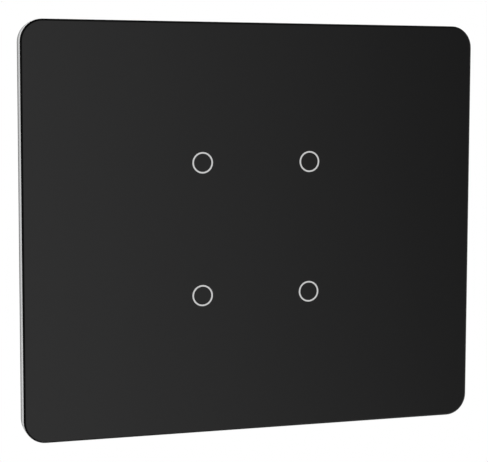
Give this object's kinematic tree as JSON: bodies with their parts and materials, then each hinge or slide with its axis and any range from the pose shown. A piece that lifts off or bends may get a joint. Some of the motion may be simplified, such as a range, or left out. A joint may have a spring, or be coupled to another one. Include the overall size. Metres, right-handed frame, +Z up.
{
  "type": "touch light switch",
  "caption": "Flush wall light switch with a black rounded glass front, ring-marked touch keys and a rear relay box with screw terminals; the front pulls off its steel yoke.",
  "frame": {"origin": "on the wall face, midway between the two wall-box screws", "axes": "+X to the right as seen from the room, +Y into the wall, +Z up"},
  "size_m": [0.0994, 0.0329, 0.086],
  "materials": {
    "black_glass": "polished",
    "ring_enamel": "satin",
    "adhesive": "matt",
    "frame_plastic": "fine grain",
    "zinc_steel": "zinc plated",
    "grommet_rubber": "matt",
    "cover_plastic": "fine grain",
    "board": "solder mask",
    "insulation": "matt",
    "spring_steel": "bright",
    "led_lens": "clear",
    "black_plastic": "moulded",
    "relay_case": "moulded",
    "capacitor_case": "moulded",
    "varistor_epoxy": "dipped",
    "fuse_case": "moulded",
    "block_plastic": "moulded",
    "brass": "plain"
  },
  "bodies": {
    "base": {"mounting_yoke": "zinc_steel", "peg_grommet_1": "grommet_rubber", "peg_grommet_2": "grommet_rubber", "peg_grommet_3": "grommet_rubber", "peg_grommet_4": "grommet_rubber", "module_cover": "cover_plastic", "touch_board": "board", "insulation_sheet": "insulation", "touch_spring_1": "spring_steel", "touch_spring_2": "spring_steel", "touch_spring_3": "spring_steel", "touch_spring_4": "spring_steel", "indicator_led_1": "led_lens", "indicator_led_2": "led_lens", "indicator_led_3": "led_lens", "indicator_led_4": "led_lens", "touch_chip": "black_plastic", "pin_header": "black_plastic", "header_socket": "black_plastic", "power_board": "board", "relay_1": "relay_case", "relay_2": "relay_case", "relay_3": "relay_case", "relay_4": "relay_case", "power_module": "black_plastic", "filter_capacitor": "capacitor_case", "varistor": "varistor_epoxy", "fuse": "fuse_case", "terminal_block": "block_plastic", "terminal_contact_1": "brass", "terminal_contact_2": "brass", "terminal_contact_3": "brass", "terminal_contact_4": "brass", "terminal_contact_5": "brass", "terminal_contact_6": "brass", "rear_housing": "cover_plastic", "housing_screws": "zinc_steel"},
    "front": {"glass_panel": "black_glass", "ring_mark_1": "ring_enamel", "ring_mark_2": "ring_enamel", "ring_mark_3": "ring_enamel", "ring_mark_4": "ring_enamel", "adhesive_sheet": "adhesive", "panel_frame": "frame_plastic"},
    "screw_1": {"terminal_screw_1": "brass"},
    "clamp_1": {"terminal_clamp_1": "zinc_steel"},
    "screw_2": {"terminal_screw_2": "brass"},
    "clamp_2": {"terminal_clamp_2": "zinc_steel"},
    "screw_3": {"terminal_screw_3": "brass"},
    "clamp_3": {"terminal_clamp_3": "zinc_steel"},
    "screw_4": {"terminal_screw_4": "brass"},
    "clamp_4": {"terminal_clamp_4": "zinc_steel"},
    "screw_5": {"terminal_screw_5": "brass"},
    "clamp_5": {"terminal_clamp_5": "zinc_steel"},
    "screw_6": {"terminal_screw_6": "brass"},
    "clamp_6": {"terminal_clamp_6": "zinc_steel"}
  },
  "joints": [
    {"name": "front_pull", "type": "slide", "parent": "base", "child": "front", "axis": [0, -1, 0], "range_m": [0, 0.03]},
    {"name": "screw_turn_1", "type": "hinge", "parent": "base", "child": "screw_1", "pos_m": [-0.015, 0.0216, -0.0246], "axis": [0, -1, 0], "range_deg": [0, 1765]},
    {"name": "clamp_rise_1", "type": "slide", "parent": "base", "child": "clamp_1", "axis": [0, 1, 0], "range_m": [0, 0.0022]},
    {"name": "screw_turn_2", "type": "hinge", "parent": "base", "child": "screw_2", "pos_m": [-0.009, 0.0216, -0.0246], "axis": [0, -1, 0], "range_deg": [0, 1765]},
    {"name": "clamp_rise_2", "type": "slide", "parent": "base", "child": "clamp_2", "axis": [0, 1, 0], "range_m": [0, 0.0022]},
    {"name": "screw_turn_3", "type": "hinge", "parent": "base", "child": "screw_3", "pos_m": [-0.003, 0.0216, -0.0246], "axis": [0, -1, 0], "range_deg": [0, 1765]},
    {"name": "clamp_rise_3", "type": "slide", "parent": "base", "child": "clamp_3", "axis": [0, 1, 0], "range_m": [0, 0.0022]},
    {"name": "screw_turn_4", "type": "hinge", "parent": "base", "child": "screw_4", "pos_m": [0.003, 0.0216, -0.0246], "axis": [0, -1, 0], "range_deg": [0, 1765]},
    {"name": "clamp_rise_4", "type": "slide", "parent": "base", "child": "clamp_4", "axis": [0, 1, 0], "range_m": [0, 0.0022]},
    {"name": "screw_turn_5", "type": "hinge", "parent": "base", "child": "screw_5", "pos_m": [0.009, 0.0216, -0.0246], "axis": [0, -1, 0], "range_deg": [0, 1765]},
    {"name": "clamp_rise_5", "type": "slide", "parent": "base", "child": "clamp_5", "axis": [0, 1, 0], "range_m": [0, 0.0022]},
    {"name": "screw_turn_6", "type": "hinge", "parent": "base", "child": "screw_6", "pos_m": [0.015, 0.0216, -0.0246], "axis": [0, -1, 0], "range_deg": [0, 1765]},
    {"name": "clamp_rise_6", "type": "slide", "parent": "base", "child": "clamp_6", "axis": [0, 1, 0], "range_m": [0, 0.0022]}
  ],
  "couplings": [
    {"joint": "screw_turn_1", "follows": "clamp_rise_1", "rad_per_m": 13963},
    {"joint": "screw_turn_2", "follows": "clamp_rise_2", "rad_per_m": 13963},
    {"joint": "screw_turn_3", "follows": "clamp_rise_3", "rad_per_m": 13963},
    {"joint": "screw_turn_4", "follows": "clamp_rise_4", "rad_per_m": 13963},
    {"joint": "screw_turn_5", "follows": "clamp_rise_5", "rad_per_m": 13963},
    {"joint": "screw_turn_6", "follows": "clamp_rise_6", "rad_per_m": 13963}
  ]
}
